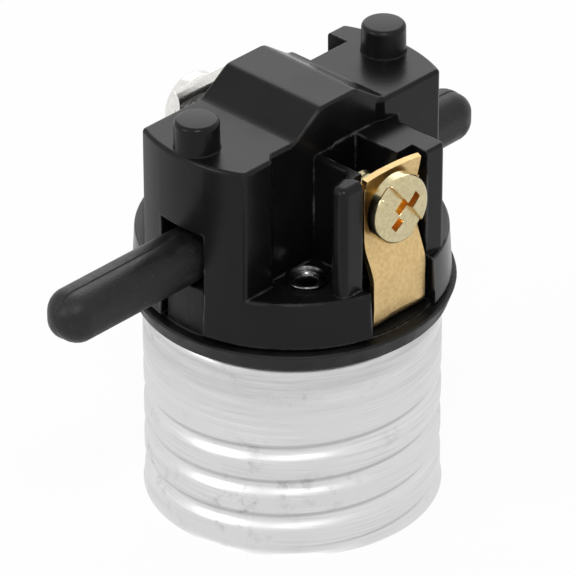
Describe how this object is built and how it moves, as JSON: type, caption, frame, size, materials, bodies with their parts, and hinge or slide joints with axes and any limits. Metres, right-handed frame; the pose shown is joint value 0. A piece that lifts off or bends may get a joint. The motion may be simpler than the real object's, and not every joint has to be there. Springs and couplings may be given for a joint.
{
  "type": "lamp socket with push switch",
  "caption": "Lamp socket interior: a threaded aluminium screw shell under a black moulded housing, with a push-through bar switch and screw terminals on bent metal straps.",
  "frame": {"origin": "on the screw axis, at the flat top of the housing's ridge", "axes": "+Z along the screw axis, from the shell's rim up to the ridge; +X along the push bar, the way it is pushed from the pictured state; +Y towards the nickel terminal"},
  "size_m": [0.0519, 0.0296, 0.0425],
  "materials": {
    "black_phenolic": "gloss, with worn light edges",
    "matt_phenolic": "matt, rough edge",
    "black_nylon": "satin, finely speckled",
    "satin_aluminium": "drawn, satin",
    "satin_brass": "satin",
    "bright_brass": "bright, plated",
    "nickel_plate": "bright nickel plate",
    "spring_steel": "plain",
    "contact_copper": "satin copper alloy",
    "blackened_steel": "blackened, satin"
  },
  "bodies": {
    "socket_body": {"switch_housing": "black_phenolic", "base_disc": "matt_phenolic", "screw_shell": "satin_aluminium", "detent_spring": "spring_steel", "load_contact": "contact_copper", "centre_contact": "satin_brass", "centre_contact_rivet": "satin_brass", "neutral_rivet": "nickel_plate", "housing_rivet_front": "blackened_steel", "housing_rivet_rear": "blackened_steel", "live_terminal_strap": "satin_brass", "neutral_terminal_strap": "nickel_plate"},
    "push_bar": {"push_bar": "black_nylon", "bridge_contact": "contact_copper", "bridge_spring": "spring_steel"},
    "live_screw": {"live_terminal_screw": "bright_brass"},
    "neutral_screw": {"neutral_terminal_screw": "nickel_plate"}
  },
  "joints": [
    {"name": "bar_slide", "type": "slide", "parent": "socket_body", "child": "push_bar", "axis": [1, 0, 0], "range_m": [0, 0.0067], "deforming": ["detent_spring"]},
    {"name": "live_screw_turn", "type": "hinge", "parent": "socket_body", "child": "live_screw", "pos_m": [-0.0002, -0.0123, -0.00805], "axis": [0, -1, 0], "range_deg": [-270, 360]},
    {"name": "neutral_screw_turn", "type": "hinge", "parent": "socket_body", "child": "neutral_screw", "pos_m": [0.0002, 0.01165, -0.00805], "axis": [0, 1, 0], "range_deg": [-270, 360]}
  ]
}
